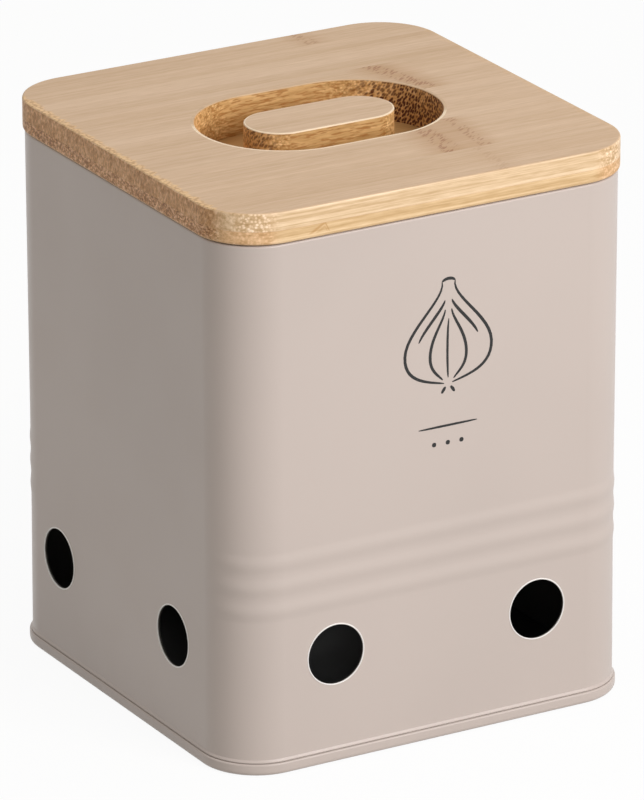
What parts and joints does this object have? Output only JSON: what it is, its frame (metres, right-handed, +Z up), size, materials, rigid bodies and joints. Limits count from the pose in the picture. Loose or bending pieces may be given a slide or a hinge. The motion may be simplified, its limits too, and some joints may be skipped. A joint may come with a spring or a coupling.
{
  "type": "garlic keeper",
  "caption": "Square vented metal keeper for garlic bulbs with shallow ribs, a seamed base and a lift-off wooden lid with a flush recessed grip.",
  "frame": {"origin": "centre of the base rim's underside, on the surface that the keeper stands on", "axes": "+Z up; the plain front is towards -Y; the lid's grip runs along X"},
  "size_m": [0.12, 0.12, 0.15],
  "materials": {
    "enamelled_sheet": "satin warm grey-beige lacquer, dark lacquer inside",
    "enamelled_base": "satin warm grey-beige lacquer, dark lacquer inside",
    "bamboo_top": "oiled bamboo, fine straight grain along X",
    "bamboo_lower": "oiled bamboo, fine straight grain along X",
    "silicone": "matte translucent white silicone"
  },
  "bodies": {
    "tin": {"tin_body": "enamelled_sheet", "base_pan": "enamelled_base"},
    "lid": {"lid_top_ply": "bamboo_top", "lid_lower_ply": "bamboo_lower", "lid_knob": "bamboo_top", "lid_plug": "bamboo_lower", "lid_seal": "silicone"}
  },
  "joints": [
    {"name": "lid_lift", "type": "slide", "parent": "tin", "child": "lid", "axis": [0, 0, 1], "range_m": [0, 0.05]}
  ]
}
